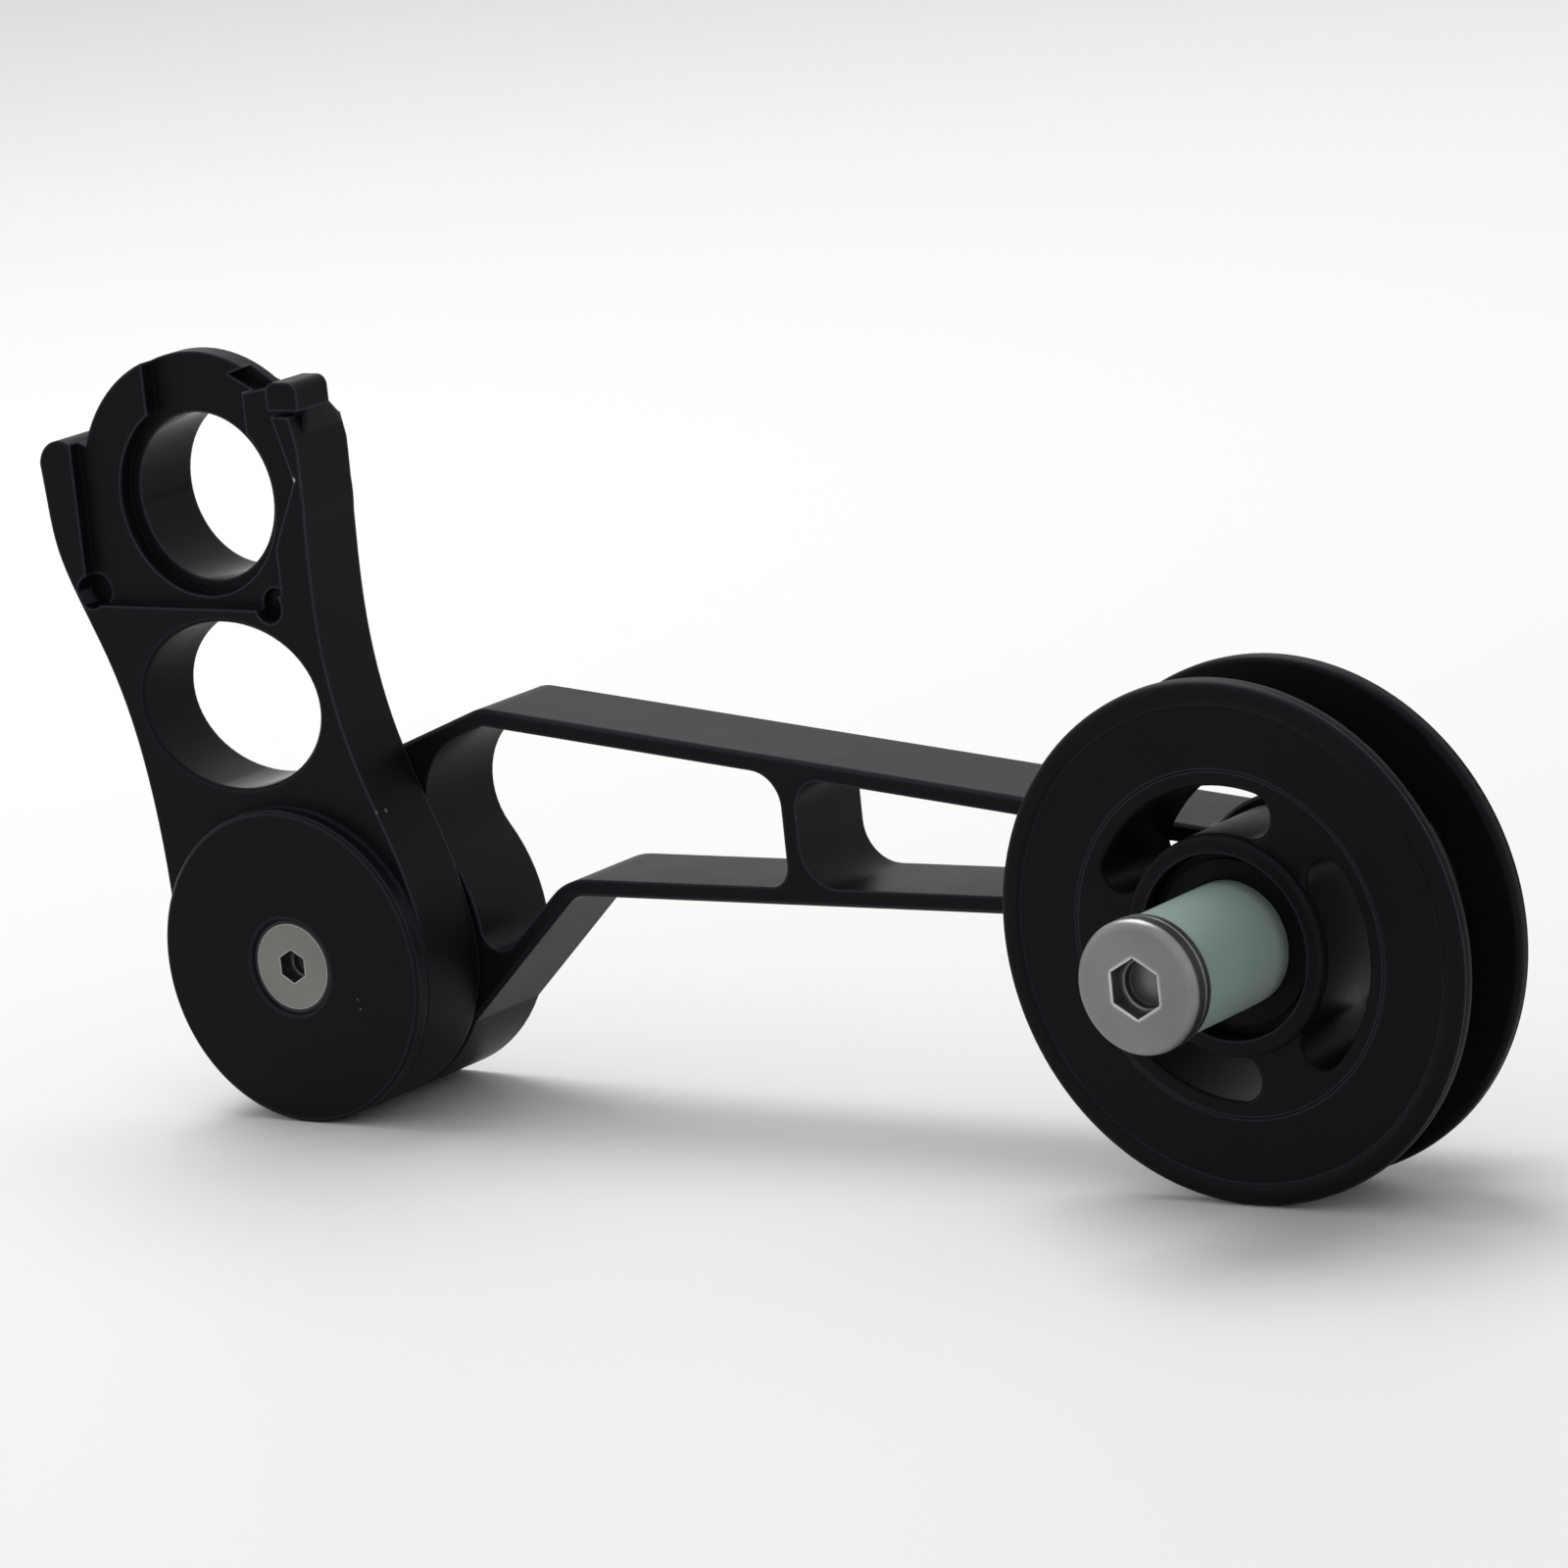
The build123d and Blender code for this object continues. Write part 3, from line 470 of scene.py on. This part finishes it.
def add_mark(
    nodes: Nodes, mark: Mark, place: bpy.types.NodeSocket, colour: bpy.types.NodeSocket
) -> bpy.types.NodeSocket:
    """Mixes a small mark into a colour.

    Args:
        nodes: the material's nodes.
        mark: the mark.
        place: Object coordinates.
        colour: the colour under the mark.

    Returns:
        The colour with the mark.
    """
    far = nodes.add(
        "ShaderNodeVectorMath", {0: place, 1: mark.place}, operation="DISTANCE"
    ).outputs["Value"]
    fade = nodes.add(
        "ShaderNodeMapRange",
        {
            "Value": far,
            "From Min": mark.radius * MARK_CORE,
            "From Max": mark.radius,
            "To Min": 1.0,
            "To Max": 0.0,
        },
    ).outputs[0]
    mix = nodes.add(
        "ShaderNodeMix",
        {MIX_FACTOR: fade, MIX_FIRST: colour, MIX_SECOND: (*mark.colour, 1.0)},
        data_type="RGBA",
    )
    return mix.outputs[MIX_RESULT]


@dataclass
class Axes:
    """Where the part's two working axes lie, read from the frame's joints."""

    pivot: Vector
    pulley: Vector

    @classmethod
    def from_frame(cls, frame: dict) -> "Axes":
        """Reads the hinge axes of the arm and the pulley.

        Args:
            frame: the loaded frame.

        Returns:
            The axes.
        """
        joints = {joint["name"]: joint for joint in frame["joints"]}
        return cls(Vector(joints["arm_swing"]["pos_m"]), Vector(joints["pulley_spin"]["pos_m"]))


class Finishes:
    """Every finish of the tensioner, worked out once and shared."""

    def __init__(self, axes: Axes) -> None:
        """Makes the finishes.

        Args:
            axes: the part's axes, which centre the turned grains.
        """
        pivot, pulley = tuple(axes.pivot), tuple(axes.pulley)
        black: Colour = (0.0046, 0.0051, 0.0064)
        deep_black: Colour = (0.0043, 0.0047, 0.0058)
        # Bluish reflection colour that stands in for blue sky light: a painted reflection colour.
        painted_sky_tint: Colour = (0.80, 0.92, 1.0)
        # Pale colour of the painted glint where the ridge along the plate's right edge ends.
        painted_glint: Colour = (0.36, 0.37, 0.37)
        dust: Colour = (0.10, 0.10, 0.095)
        eye_bore = (0.0, 0.0, 0.0087)
        window_bore = (0.0023, -0.0209, 0.0087)
        self.finishes = {
            "plate": Finish(
                "anodised_plate", black, 0.42, specular=0.065, tint=painted_sky_tint, edge_highlight=7.5,
                bores=(eye_bore, window_bore),
                marks=(
                    # A painted glint where the ridge along the plate's right edge ends.
                    Mark((0.01388, -0.0030, 0.00247), 0.00032, painted_glint),
                    Mark((0.01955, -0.0015, -0.03138), 0.00028, dust),
                    Mark((0.01946, -0.0029, -0.03125), 0.00022, dust),
                ),
            ),
            "cap": Finish(
                "anodised_cap", deep_black, 0.40, Grain.TURNED, specular=0.065, tint=painted_sky_tint,
                edge_highlight=13.0, grain_size=0.0002, grain_depth=0.000002, axis=pivot,
                marks=(
                    Mark((0.01609, -0.0052, -0.05015), 0.00014, dust),
                    Mark((0.01632, -0.0052, -0.05116), 0.00016, dust),
                ),
            ),
            "arm": Finish(
                "anodised_arm", black, 0.40, specular=0.07, tint=painted_sky_tint, edge_highlight=7.0,
                marks=(
                    Mark((0.06496, 0.0054, -0.03180), 0.00018, dust),
                    Mark((0.06707, 0.0054, -0.03819), 0.00018, dust),
                ),
            ),
            "screw": Finish(
                "stainless_screw", (0.190, 0.184, 0.175), 0.40, Grain.TURNED, metallic=1.0,
                edge_highlight=2.6, grain_size=0.00012, grain_depth=0.000002, axis=pivot, edge=0.00015,
                recess_shade=0.4,
            ),
            "bolt": Finish(
                "stainless_bolt", (0.195, 0.195, 0.192), 0.34, Grain.TURNED, metallic=1.0,
                edge_highlight=3.4, grain_size=0.00014, grain_depth=0.000002, axis=pulley, edge=0.00038,
                recess_shade=0.9,
            ),
            "axle": Finish(
                "ground_steel", (0.30, 0.30, 0.30), 0.3, Grain.TURNED, metallic=1.0, edge_highlight=2.0,
                grain_size=0.00015, axis=pivot, recess_shade=0.5,
            ),
            "spring": Finish("oiled_spring_steel", (0.10, 0.10, 0.11), 0.35, metallic=1.0),
            "bush": Finish("bearing_plastic", (0.05, 0.05, 0.045), 0.5, Grain.MOULDED),
            "sleeve": Finish(
                "pale_sleeve", (0.252, 0.325, 0.302), 0.34, Grain.TURNED, specular=0.4,
                colour_spread=0.05, grain_size=0.0004, grain_depth=0.000003, axis=pulley, recess_shade=0.45,
            ),
            "liner": Finish(
                "liner_plastic", (0.0035, 0.0038, 0.0044), 0.42, Grain.MOULDED, specular=0.06,
                tint=painted_sky_tint,
            ),
            "pulley": Finish(
                "moulded_pulley", deep_black, 0.44, Grain.MOULDED, specular=0.065, tint=painted_sky_tint,
                edge_highlight=6.0, grain_size=0.0006, grain_depth=0.000006,
            ),
        }
        self.materials = {key: build_material(finish) for key, finish in self.finishes.items()}

    def dress(self, node: bpy.types.Object, key: str) -> None:
        """Gives one node of the frame its finish, without touching its mesh.

        Args:
            node: the frame's object.
            key: the finish's key.
        """
        if not node.material_slots:
            node.data.materials.append(self.materials[key])
        for place in node.material_slots:
            place.material = self.materials[key]
        LOG.info("%s wears %s", node.name, self.finishes[key].name)


@dataclass
class Hanger:
    """The still side: plate, cap, screw, axle and what sits on the axle.

    The web behind the lug is a block in the plate's own planes, in metres. Its right side leans in
    towards its foot, and behind the lug its top slopes down.

    Args:
        wears: each node's finish.
        web_left: left side, inside the plate.
        web_right: right side at the top.
        web_foot_right: right side at the foot and at the back.
        web_foot: underside, inside the shoulder.
        web_top: top at the lug.
        web_back_top: top at the back.
        web_front: front side, at the floor of the lug's groove.
        web_lug_back: where the slope starts.
        web_back: back side.
        web_round: rounding of its edges.
        web_segments: steps in that rounding.
    """

    wears: dict[str, str] = field(
        default_factory=lambda: {
            "hanger_plate": "plate", "pivot_cap": "cap", "pivot_screw": "screw", "pivot_axle": "axle",
            "pivot_washer": "bush", "spring_guide": "bush", "torsion_spring": "spring",
            "stop_pin": "axle", "rear_washer": "axle", "retaining_ring": "spring",
        }
    )
    web_left: float = 0.0126
    web_right: float = 0.01540
    web_foot_right: float = 0.01452
    web_foot: float = 0.0066
    web_top: float = 0.0099
    web_back_top: float = 0.0078
    web_front: float = -0.0014
    web_lug_back: float = 0.0020
    web_back: float = 0.0049
    web_round: float = 0.0003
    web_segments: int = 3

    def dress(self, frame: dict, finishes: Finishes) -> None:
        """Dresses the hanger's nodes and adds the web behind its lug.

        Args:
            frame: the loaded frame.
            finishes: the shared finishes.
        """
        for node, key in self.wears.items():
            finishes.dress(frame["nodes"][node], key)
        self.add_lug_web(finishes)

    def add_lug_web(self, finishes: Finishes) -> None:
        """Fills the corner from the lug down to the right shoulder, sloping off at the back.

        Args:
            finishes: the shared finishes.
        """
        mesh = bmesh.new()
        bmesh.ops.create_cube(mesh, size=1.0)
        size = (
            self.web_right - self.web_left, self.web_back - self.web_front, self.web_top - self.web_foot
        )
        middle = (
            (self.web_right + self.web_left) / 2,
            (self.web_back + self.web_front) / 2,
            (self.web_top + self.web_foot) / 2,
        )
        bmesh.ops.scale(mesh, verts=mesh.verts, vec=size)
        bmesh.ops.translate(mesh, verts=mesh.verts, vec=middle)
        bmesh.ops.bisect_plane(
            mesh, geom=mesh.verts[:] + mesh.edges[:] + mesh.faces[:],
            plane_co=(0.0, self.web_lug_back, 0.0), plane_no=ALONG_Y,
        )
        lean = (self.web_foot_right - self.web_right, 0.0, 0.0)
        foot = [v for v in mesh.verts if v.co.x > middle[0] and v.co.z < middle[2]]
        bmesh.ops.translate(mesh, verts=foot, vec=lean)
        rear = [v for v in mesh.verts if v.co.y > self.web_lug_back + self.web_round]
        rear_top = [v for v in rear if v.co.z > middle[2]]
        bmesh.ops.translate(mesh, verts=rear_top, vec=(0.0, 0.0, self.web_back_top - self.web_top))
        rear_right = [v for v in rear_top if v.co.x > middle[0]]
        bmesh.ops.translate(mesh, verts=rear_right, vec=lean)
        bmesh.ops.bevel(
            mesh, geom=mesh.edges[:], offset=self.web_round, segments=self.web_segments, profile=0.5,
            affect="EDGES", material=-1,
        )
        bmesh.ops.recalc_face_normals(mesh, faces=mesh.faces)
        web = as_object(mesh, "lug_web")
        web.data.materials.append(finishes.materials["plate"])
        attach(web, "hanger")
        LOG.info("%s rides on the hanger", web.name)


@dataclass
class Arm:
    """The swinging side: skeleton arm, its bushes, and the bolt with its washer and sleeve."""

    wears: dict[str, str] = field(
        default_factory=lambda: {
            "tension_arm": "arm", "front_pivot_bush": "bush", "rear_pivot_bush": "bush",
            "pulley_bolt": "bolt", "bolt_washer": "bolt", "pulley_sleeve": "sleeve",
        }
    )

    def dress(self, frame: dict, finishes: Finishes) -> None:
        """Dresses the arm's nodes.

        Args:
            frame: the loaded frame.
            finishes: the shared finishes.
        """
        for node, key in self.wears.items():
            finishes.dress(frame["nodes"][node], key)


@dataclass
class Pulley:
    """The pulley: core, two flanges, and the liner that slides on the sleeve.

    Each flange carries a low bead along its rim. Radii and heights are in metres.

    Args:
        wears: each node's finish.
        bead_foot: radius where the bead starts to rise.
        bead_crown: radius where it reaches its height.
        bead_fall: radius where it starts to round off.
        bead_rim: its outer radius.
        bead_height: how far it stands out of the flange's face.
        bead_drop: how far its outer side reaches down past that face.
        bead_root: how deep its inner side is sunk in the flange.
        bead_steps: steps in each of its two curves.
        bead_turns: steps round the pulley.
    """

    wears: dict[str, str] = field(
        default_factory=lambda: {
            "pulley_core": "pulley", "front_flange": "pulley", "rear_flange": "pulley",
            "pulley_liner": "liner", "liner_clip": "liner",
        }
    )
    bead_foot: float = 0.0227
    bead_crown: float = 0.0234
    bead_fall: float = 0.0241
    bead_rim: float = 0.02497
    bead_height: float = 0.0003
    bead_drop: float = 0.0005
    bead_root: float = 0.0004
    bead_steps: int = 8
    bead_turns: int = 160

    def dress(self, frame: dict, finishes: Finishes) -> None:
        """Dresses the pulley's nodes and adds the raised bead round each rim.

        Args:
            frame: the loaded frame.
            finishes: the shared finishes.
        """
        for node, key in self.wears.items():
            finishes.dress(frame["nodes"][node], key)
        axis = Axes.from_frame(frame).pulley
        front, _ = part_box("front_flange")
        _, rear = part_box("rear_flange")
        self.add_bead("front_rim_bead", axis, front[1], -1.0, finishes)
        self.add_bead("rear_rim_bead", axis, rear[1], 1.0, finishes)

    def add_bead(self, name: str, axis: Vector, face: float, way: float, finishes: Finishes) -> None:
        """Adds the bead that stands on a flange's outer face, along its rim.

        Args:
            name: the piece's name.
            axis: a point on the pulley's axis.
            face: where the flange's outer face lies along Y.
            way: 1 when the face looks to +Y, else -1.
            finishes: the shared finishes.
        """
        section = [(self.bead_foot, -self.bead_root)]
        for step in range(self.bead_steps + 1):
            share = step / self.bead_steps
            rise = 0.5 - 0.5 * math.cos(math.pi * share)
            section.append(
                (self.bead_foot + share * (self.bead_crown - self.bead_foot), rise * self.bead_height)
            )
        for step in range(self.bead_steps + 1):
            turn = math.pi / 2 * step / self.bead_steps
            radius = self.bead_fall + (self.bead_rim - self.bead_fall) * math.sin(turn)
            height = self.bead_height - (self.bead_height + self.bead_drop) * (1.0 - math.cos(turn))
            section.append((radius, height))
        mesh = bmesh.new()
        loop = [
            mesh.verts.new((axis.x + radius, face + way * height, axis.z)) for radius, height in section
        ]
        edges = [mesh.edges.new((loop[i - 1], loop[i])) for i in range(len(loop))]
        bmesh.ops.spin(
            mesh, geom=loop + edges, cent=(axis.x, 0.0, axis.z), axis=ALONG_Y,
            dvec=(0.0, 0.0, 0.0), angle=2 * math.pi, steps=self.bead_turns, use_merge=True,
        )
        bmesh.ops.recalc_face_normals(mesh, faces=mesh.faces)
        for facet in mesh.faces:
            facet.smooth = True
        bead = as_object(mesh, name)
        bead.data.materials.append(finishes.materials["pulley"])
        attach(bead, "pulley")
        LOG.info("%s rides on the pulley", bead.name)


@dataclass
class Studio:
    """Floor, light and camera.

    Args:
        azimuth: the camera's azimuth in degrees.
        elevation: its elevation.
        roll: its roll.
        place: where it stands, in metres.
        lens: its focal length in millimetres.
        sensor: its sensor's width in millimetres.
        far: how far it sees, in metres.
        aim: the point that the lamp looks at.
        floor_size: side of the floor.
        floor_colour: the floor's linear colour.
        floor_roughness: the floor's roughness.
        floor_specular: the floor's reflection level square to it.
        world_level: how strongly the room lights the scene.
        key_place: where the key lamp hangs.
        key_level: its power in watts.
        key_size: its side.
    """

    azimuth: float = 36.293
    elevation: float = 12.16
    roll: float = -6.041
    place: tuple[float, float, float] = (0.5048, -0.59503, 0.1320)
    lens: float = 180.0
    sensor: float = 36.0
    far: float = 20.0
    aim: tuple[float, float, float] = (0.06, 0.0, -0.03)
    floor_size: float = 6.0
    floor_colour: Colour = (0.68, 0.675, 0.66)
    floor_roughness: float = 0.6
    floor_specular: float = 0.3
    world_level: float = 0.72
    key_place: tuple[float, float, float] = (-0.35, 0.25, 0.95)
    key_level: float = 9.5
    key_size: float = 0.7

    def build(self) -> None:
        """Makes the camera, the floor, the room's light and the key lamp."""
        self.set_camera()
        self.lay_floor()
        self.light_world()
        self.hang_key()
        bpy.context.scene.view_settings.view_transform = "Standard"

    def set_camera(self) -> None:
        """Places the camera at the photograph's angle."""
        yaw, pitch, roll = (math.radians(v) for v in (self.azimuth, self.elevation, self.roll))
        back = Vector(
            (math.sin(yaw) * math.cos(pitch), -math.cos(yaw) * math.cos(pitch), math.sin(pitch))
        )
        right = Vector((math.cos(yaw), math.sin(yaw), 0.0))
        up = back.cross(right)
        turned_right = math.cos(roll) * right + math.sin(roll) * up
        turned_up = -math.sin(roll) * right + math.cos(roll) * up
        data = bpy.data.cameras.new("camera")
        data.lens = self.lens
        data.sensor_width = self.sensor
        data.clip_end = self.far
        camera = bpy.data.objects.new("camera", data)
        turn = Matrix((turned_right, turned_up, back)).transposed()
        camera.matrix_world = Matrix.Translation(self.place) @ turn.to_4x4()
        bpy.context.scene.collection.objects.link(camera)
        bpy.context.scene.camera = camera

    def lay_floor(self) -> None:
        """Lays a wide pale floor under the lowest point of the part."""
        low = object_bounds()[0][2]
        mesh = bmesh.new()
        bmesh.ops.create_grid(mesh, x_segments=1, y_segments=1, size=self.floor_size / 2)
        bmesh.ops.translate(mesh, verts=mesh.verts, vec=(0.0, 0.0, low))
        floor = as_object(mesh, "floor")
        material = bpy.data.materials.new("floor")
        nodes = Nodes(material)
        shader = nodes.add(
            "ShaderNodeBsdfPrincipled",
            {
                "Base Color": (*self.floor_colour, 1.0),
                "Roughness": self.floor_roughness,
                "Specular IOR Level": self.floor_specular,
            },
        )
        nodes.add("ShaderNodeOutputMaterial", {"Surface": shader.outputs[0]})
        floor.data.materials.append(material)
        floor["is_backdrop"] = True

    def light_world(self) -> None:
        """Lights the room evenly, and shows a pale room to the camera."""
        world = bpy.data.worlds.new("room")
        bpy.context.scene.world = world
        nodes = Nodes(world)
        rays = nodes.add("ShaderNodeLightPath").outputs
        seen = nodes.math(
            "MAXIMUM",
            nodes.math("MAXIMUM", rays["Is Camera Ray"], rays["Is Glossy Ray"]),
            rays["Is Transmission Ray"],
        )
        level = nodes.add(
            "ShaderNodeMapRange", {"Value": seen, "To Min": self.world_level, "To Max": 1.0}
        ).outputs[0]
        shader = nodes.add("ShaderNodeBackground", {"Color": (1.0, 1.0, 1.0, 1.0), "Strength": level})
        nodes.add("ShaderNodeOutputWorld", {"Surface": shader.outputs[0]})

    def hang_key(self) -> None:
        """Hangs one wide square lamp above and behind the part, on the left, looking at it."""
        data = bpy.data.lights.new("key", "AREA")
        data.energy = self.key_level
        data.size = self.key_size
        lamp = bpy.data.objects.new("key", data)
        turn = (Vector(self.aim) - Vector(self.key_place)).to_track_quat("-Z", "Y").to_matrix()
        lamp.matrix_world = Matrix.Translation(self.key_place) @ turn.to_4x4()
        bpy.context.scene.collection.objects.link(lamp)


def as_object(mesh: bmesh.types.BMesh, name: str) -> bpy.types.Object:
    """Turns a bmesh into an object at the origin, with its place in its mesh.

    Args:
        mesh: the bmesh, which is freed.
        name: the object's name.

    Returns:
        The object, linked to the scene.
    """
    data = bpy.data.meshes.new(name)
    mesh.to_mesh(data)
    mesh.free()
    made = bpy.data.objects.new(name, data)
    bpy.context.scene.collection.objects.link(made)
    return made


def main() -> None:
    """Builds the classes in order."""
    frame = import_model()
    finishes = Finishes(Axes.from_frame(frame))
    for part in (Hanger(), Arm(), Pulley()):
        part.dress(frame, finishes)
    Studio().build()


if __name__ == "__main__":
    logging.basicConfig(level=logging.INFO)
    main()
